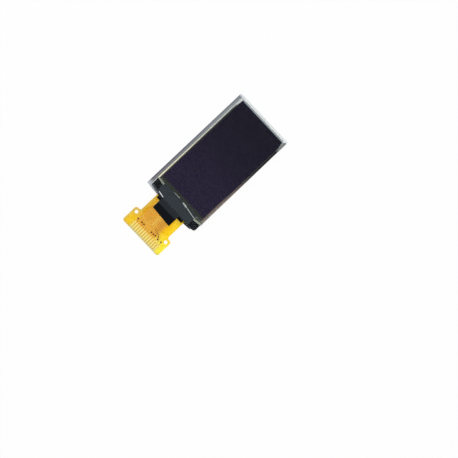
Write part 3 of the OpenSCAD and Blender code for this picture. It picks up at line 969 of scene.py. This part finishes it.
class MODULE_OT_contacts(bpy.types.Operator):
    """Finish the thirteen plated contacts"""

    bl_idname = "module.contacts"
    bl_label = "Contacts"

    def execute(self, context):
        look = context.scene.module_look.flex
        f = Finish("Gold plating")
        brushed, grain = f.noise(0.35, 3, (3, 0.4, 1)), f.noise(0.04, 3)
        root = f.step(f.y, PIN_ROOT - 1.0, PIN_ROOT)
        tip = f.step(f.y, PIN_FIRST[0].y + 0.9, PIN_FIRST[0].y + 0.1)
        base = f.paint(
            look.gold,
            (brushed, scaled(look.gold, 0.9)),
            (root * 0.8, (1.0, 0.68, 0.14)),
            (tip * 0.8, (0.62, 0.57, 0.26)),
        )
        surface = f.surface(
            Base_Color=base,
            Metallic=0.3,
            Roughness=0.34 + 0.2 * grain,
            Normal=f.bump(brushed * 0.004 + grain * 0.001, 0.6),
        )
        dress(f.done(surface), *CONTACTS)
        return {"FINISHED"}


# Tapes ----------------------------------------------------------------------

TAB_LEFT, TAB_RIGHT = -3.2, 2.4
SLOPE_END = GLASS_LOW.y - 1.2


def front_tape_mesh(name, thickness, skew):
    """The T-shaped front tape's upper face, down over the polariser's edge and onto the tail."""
    profile = [
        (BAND_HIGH.y, BAND_HIGH.z),
        (POL_LOW.y, BAND_HIGH.z),
        (POL_LOW.y - 0.2, GLASS_HIGH.z + thickness),
        (GLASS_LOW.y, GLASS_HIGH.z + thickness),
        (SLOPE_END, BAND_LOW.z + thickness),
        (BAND_LOW.y, BAND_LOW.z + thickness),
    ]
    bend_from, bend_askew = 1.4, 0.15
    blur = (-0.12, -0.06, 0, 0.06, 0.12)

    def height(x, y):
        """Level of the upper face; the bend at the polariser's edge runs askew on the right."""
        if y > GLASS_LOW.y + 1:
            y = min(y + bend_askew * max(x - bend_from, 0), max(y, POL_LOW.y))
        for (y1, z1), (y0, z0) in zip(profile, profile[1:]):
            if y >= y0:
                return z0 + (z1 - z0) * min((y - y0) / (y1 - y0), 1)
        return profile[-1][1]

    def drape(x, y):
        """How far the face sinks below its level, a little unevenly beyond the polariser."""
        past_edge = smooth((POL_LOW.y - 0.25 - y) / 0.4)
        return 0.004 + 0.014 * (1 + wave(x, y, 0.9, 7)) * past_edge

    xs = spread(BAND_LOW.x, TAB_LEFT, 8)
    xs += spread(TAB_LEFT, TAB_RIGHT, 22)[1:] + spread(TAB_RIGHT, BAND_HIGH.x, 11)[1:]
    ys = spread(BAND_HIGH.y, GLASS_LOW.y, 36) + spread(GLASS_LOW.y, BAND_LOW.y, 36)[1:]
    rows = []
    for y in ys:
        past = smooth((SLOPE_END - y) / (SLOPE_END - BAND_LOW.y))
        row = []
        for x in xs:
            ragged = 0.02 * wave(x, y, 0.7, 3) if x in (xs[0], xs[-1]) else 0
            askew = past * skew * (TAB_RIGHT - x) / (TAB_RIGHT - TAB_LEFT)
            level = sum(height(x, y + d) for d in blur) / len(blur)
            row.append((x + ragged, y + askew, level - drape(x, y)))
        rows.append(row)

    def keep(i, j):
        on_glass = ys[i + 1] >= GLASS_LOW.y - TINY
        return on_glass or TAB_LEFT - TINY <= xs[j] < TAB_RIGHT - TINY

    return sheet_mesh(name, rows, keep)


def front_tape_finish(look):
    """Black tape with a painted grey sheen over the glass, gloss black on the tail, and a painted
    highlight along the ridge over the polariser's edge.
    """
    f = Finish("Front tape")
    tab = f.step(f.y, SLOPE_END + 0.12, SLOPE_END - 0.08)
    slope = f.step(f.y, GLASS_LOW.y + 0.1, GLASS_LOW.y - 0.3)
    bend = f.band(f.y, GLASS_LOW.y - 0.12, GLASS_LOW.y + 0.2, 0.08)
    weave = f.noise(0.16, 3, (1, 0.35, 1)) * 0.5 + f.noise(0.5, 2, (0.5, 1, 1), 5) * 0.5
    hatch = f.math("SINE", (f.x * 1.2 + f.y) * 13.4) * f.noise(0.8, 2, (1, 1, 1), 13)

    # Painted highlight along the ridge where the tape steps over the polariser's edge, broken up by
    # streaks.
    streak = f.noise(0.5, 3, (1, 2.5, 1), 9)
    off = f.y - POL_LOW.y - 0.25 + 0.15 * f.math("MAXIMUM", f.x + 0.3, 0)
    strong = 0.6 * f.band(f.x, -2.2, -0.5, 0.15) + 0.85 * f.step(f.x, 0.5, 1.0)
    strong = strong + 0.5 * f.band(f.x, 0.9, 2.1, 0.15)
    width = 0.08 + 0.07 * f.band(f.x, 0.9, 2.1, 0.2)
    broken = 0.6 + 0.8 * f.step(streak, 0.4, 0.62)
    crease = f.step(abs(off) - width, 0.05, -0.05) * strong * broken
    glint = f.band(f.y + 0.17 * f.x, -16.40, -16.22, 0.06) * f.band(f.x, -4.75, -3.25, 0.1)

    # Painted sheen and shade: grey laid on the black tape over the glass, darkened again on the
    # slope and bend down to the black tab.
    base = f.paint(
        look.slate_sheen,
        (weave + 0.8 * hatch, scaled(look.slate_sheen, 1.5)),
        (slope * 0.4, look.black),
        (bend * 0.6 * (1 - slope), look.black),
        (tab, look.black),
        (crease, look.crease),
        (glint, (0.88, 0.90, 0.92)),
    )
    surface = f.surface(
        Base_Color=base,
        Roughness=0.46 - tab * 0.22 + weave * 0.12,
        Normal=f.bump(weave * 0.008, 0.6),
        Specular_IOR_Level=0.06,
    )
    return f.done(surface)


class MODULE_OT_front_tape(bpy.types.Operator):
    """Lay the front tape over the polariser's edge, the ledge and the root of the tail"""

    bl_idname = "module.front_tape"
    bl_label = "Front tape"

    def execute(self, context):
        look = context.scene.module_look.tape
        name, thickness = "front_tape_film", BAND_HIGH.z - POL_HIGH.z
        mesh = front_tape_mesh(name, thickness, look.skew / MM)
        tape = piece(name, mesh, front_tape_finish(look), "front_tape", "front_tape")
        thicken(tape, (thickness - 0.006) * MM, look.soft)
        return {"FINISHED"}


def rear_tape_mesh(name):
    """The rear tape's upper face, draped over chip and flex, from its lip to its far edge."""
    edge_y, lip_y, top_y = GLASS_LOW.y, REAR_LOW.y, REAR_HIGH.y
    left, right = GLASS_LOW.x, GLASS_HIGH.x
    flex_middle = (BASE_LOW.x + BASE_HIGH.x) / 2
    flex_half, lip_half, lip_taper, drape = 4.4, 4.1, 0.45, 0.85
    shoulder_out, round_r = 2.45, 0.8
    chip_box = ((CHIP_LOW.x, CHIP_LOW.y), (CHIP_HIGH.x, CAP_LOW.y))
    flex_box = (
        (flex_middle - flex_half, lip_y - 1),
        (flex_middle + flex_half, edge_y + 1.25),
    )

    def dip(x, y, box, back):
        """How far the tape dips under a box whose lower face is at that level."""
        low, high = box
        aside = max(low[0] - x, x - high[0], low[1] - y, y - high[1], 0)
        return (REAR_HIGH.z - back) * (1 - smooth(aside / drape))

    def level(x, y):
        chip = dip(x, y, chip_box, CHIP_LOW.z)
        flex = dip(x, y, flex_box, BASE_LOW.z - 0.05)
        return REAR_HIGH.z - max(chip, flex) - 0.003 - 0.01 * abs(wave(x, y, 0.8, 2))

    def ends(y):
        """Left and right end of the row at that place: the lip's, or the torn and round ones."""
        if y < edge_y - TINY:
            in_lip = (edge_y - y) / (edge_y - lip_y)
            half = lip_half - lip_taper * in_lip
            shoulder = shoulder_out * (1 - smooth((in_lip - 0.55) / 0.35))
            return flex_middle - half, flex_middle + half + shoulder
        t = (y - edge_y) / (top_y - edge_y)
        torn = 0.03 * smooth(t / 0.3) * smooth((0.95 - t) / 0.3) + 0.06 * wave(0, y, 0.16, 5)
        under_round = max(edge_y + round_r - y, 0)
        corner = round_r - math.sqrt(max(round_r**2 - under_round**2, 0))
        return left + max(torn + 0.02, 0), right - corner - 0.02

    def top_drop(x):
        """How far the upper edge falls short, askew at both ends."""
        at_left = smooth((-4.5 - x) / 0.6) * (0.50 + 0.13 * (x + 5.2))
        at_right = smooth((x - 4.2) / 0.6) * (0.94 - 0.17 * (x - 5.0))
        return at_left + at_right

    rows = []
    for y in spread(lip_y, edge_y - 0.1, 6) + spread(edge_y, top_y, 30):
        share_up = max((y - edge_y) / (top_y - edge_y), 0)
        row = []
        for x in spread(*ends(y), 72):
            place = y - top_drop(x) * share_up + 0.015 * wave(x, 0, 0.5, 8)
            row.append((x, place, level(x, place)))
        rows.append(row)
    return sheet_mesh(name, rows)


class MODULE_OT_rear_tape(bpy.types.Operator):
    """Drape the rear tape over the chip and the flex, and finish the sealant beside it"""

    bl_idname = "module.rear_tape"
    bl_label = "Rear tape"

    def execute(self, context):
        look = context.scene.module_look.tape
        f = Finish("Rear tape")
        weave, dull = f.noise(0.12, 3, (1, 0.5, 1)), f.noise(1.6, 2)
        surface = f.surface(
            Base_Color=f.mix(weave, scaled(look.black, 1.8), scaled(look.black, 4)),
            Roughness=0.22 + 0.12 * weave + 0.12 * dull,
            Normal=f.bump(weave * 0.006 + dull * 0.02, 0.6),
            Specular_IOR_Level=0.07,
        )
        name, thickness = "rear_tape_film", 0.076
        tape = piece(name, rear_tape_mesh(name), f.done(surface), "rear_tape", "rear_tape")
        thicken(tape, thickness * MM, look.soft)

        f = Finish("Black sealant")
        skin = f.noise(0.25, 3)
        surface = f.surface(
            Base_Color=f.mix(skin, (0.0012, 0.0012, 0.0015), (0.004, 0.0038, 0.0034)),
            Roughness=0.3 + 0.25 * skin,
            Normal=f.bump(skin * 0.02, 0.7),
            Specular_IOR_Level=0.04,
        )
        dress(f.done(surface), "root_sealant")
        return {"FINISHED"}


# Stage ----------------------------------------------------------------------


def lay_floor(look):
    """A pale sheet just below the module, clear from below for the lamp that shines up there."""
    reach, drop = 4.0, 0.02 * MM
    f = Finish("Floor")
    paper = f.surface(Base_Color=(0.86, 0.86, 0.86), Roughness=0.9, Specular_IOR_Level=0.1)
    white = f.node("ShaderNodeEmission", inputs={"Color": (1, 1, 1), "Strength": 1.0}).outputs[0]
    top = f.blend(f.seen() * look.floor_white, paper, white)
    mesh = bpy.data.meshes.new("floor")
    rim = [(x * reach, y * reach, 0) for x, y in ((-1, -1), (1, -1), (1, 1), (-1, 1))]
    mesh.from_pydata(rim, [], [(0, 1, 2, 3)])
    mesh.materials.append(f.done(f.blend(f.backfacing(), top, f.clear((1, 1, 1)))))
    floor = linked("floor", mesh)
    floor.location.z = -drop
    floor.visible_shadow = False


def hang_sky(scene):
    """A world that is white to the camera, and dims overhead for what the module catches."""
    scene.world = bpy.data.worlds.new("Sky")
    scene.world.use_nodes = True
    n = Nodes(scene.world.node_tree)
    ray_up = n.split(n.node("ShaderNodeTexCoord").outputs["Generated"])[2]
    strength = n.math("MAXIMUM", 1 - 0.82 * n.step(ray_up, 0.05, 0.85), n.seen())
    sky = n.node("ShaderNodeBackground", inputs={"Color": (1, 1, 1), "Strength": strength})
    n.node("ShaderNodeOutputWorld", inputs={0: sky.outputs[0]})


def hang_lamps(look):
    """Two soft lamps above and one below, all turned to the module's middle."""
    middle_x, middle_y = (GLASS_LOW.x + GLASS_HIGH.x) / 2, (FILM_HIGH.y + BASE_LOW.y) / 2
    centre = Vector((middle_x, middle_y, 0)) * MM
    for name, watts, azimuth, elevation, reach, size in (
        ("key", look.key, 150, 48, 0.40, 0.30),
        ("fill", look.fill, -20, 40, 0.40, 0.30),
        ("under", look.under, -90, -70, 0.45, 0.40),
    ):
        lamp = bpy.data.lights.new(name, "AREA")
        lamp.energy, lamp.size = watts, size
        obj = linked(name, lamp)
        a, e = math.radians(azimuth), math.radians(elevation)
        away = Vector((math.cos(a) * math.cos(e), math.sin(a) * math.cos(e), math.sin(e)))
        obj.location = centre + away * reach
        obj.rotation_mode = "QUATERNION"
        obj.rotation_quaternion = (centre - obj.location).to_track_quat("-Z", "Y")


def place_camera(look):
    """A camera that leans from straight above its aim point, and is rolled about its line."""
    aim_point = Vector((12.242, -9.855, 0.8)) * MM
    camera = bpy.data.cameras.new("camera")
    camera.lens, camera.sensor_width = look.lens, 36
    camera.clip_start, camera.clip_end = 0.01, 20
    obj = linked("camera", camera)
    aside = math.sin(look.tilt)
    back = Vector(
        (aside * math.cos(look.lean), aside * math.sin(look.lean), math.cos(look.tilt))
    )
    right = Vector((0, 1, 0)).cross(back).normalized()
    up = back.cross(right)
    turn = Matrix.Rotation(look.roll, 3, back)
    axes = Matrix((turn @ right, turn @ up, back)).transposed().to_4x4()
    obj.matrix_world = Matrix.Translation(aim_point + back * look.distance) @ axes
    return obj


class MODULE_OT_stage(bpy.types.Operator):
    """Set the floor, the soft lamps, the sky and the camera"""

    bl_idname = "module.stage"
    bl_label = "Stage"

    def execute(self, context):
        scene = context.scene
        look = scene.module_look.stage
        scene.view_settings.view_transform = "Standard"
        lay_floor(look)
        hang_sky(scene)
        hang_lamps(look)
        scene.camera = place_camera(look)
        return {"FINISHED"}


# Add-on ---------------------------------------------------------------------

OPERATORS = (
    MODULE_OT_stage,
    MODULE_OT_glass,
    MODULE_OT_sealed,
    MODULE_OT_films,
    MODULE_OT_ledge,
    MODULE_OT_flex,
    MODULE_OT_contacts,
    MODULE_OT_front_tape,
    MODULE_OT_rear_tape,
)


class MODULE_PT_looks(bpy.types.Panel):
    """Lists the pieces of the display module"""

    bl_idname = "MODULE_PT_looks"
    bl_label = "Display module"
    bl_space_type = "VIEW_3D"
    bl_region_type = "UI"
    bl_category = "Module"

    def draw(self, context):
        look = context.scene.module_look
        for settings in (look.glass, look.film, look.flex, look.tape, look.stage):
            box = self.layout.box()
            for name in settings.bl_rna.properties.keys():
                if name not in ("rna_type", "name"):
                    box.prop(settings, name)
        for operator in OPERATORS:
            self.layout.operator(operator.bl_idname)


LOOKS = (GlassLook, FilmLook, FlexLook, TapeLook, StageLook, ModuleLook)
CLASSES = (*LOOKS, *OPERATORS, MODULE_PT_looks)


def register():
    for made in CLASSES:
        bpy.utils.register_class(made)
    bpy.types.Scene.module_look = group(
        ModuleLook, "Module look", "Settings of the display module's looks"
    )


def unregister():
    del bpy.types.Scene.module_look
    for made in reversed(CLASSES):
        bpy.utils.unregister_class(made)


def main():
    register()
    for operator in OPERATORS:
        getattr(bpy.ops.module, operator.bl_idname.split(".")[1])()


if __name__ == "__main__":
    main()
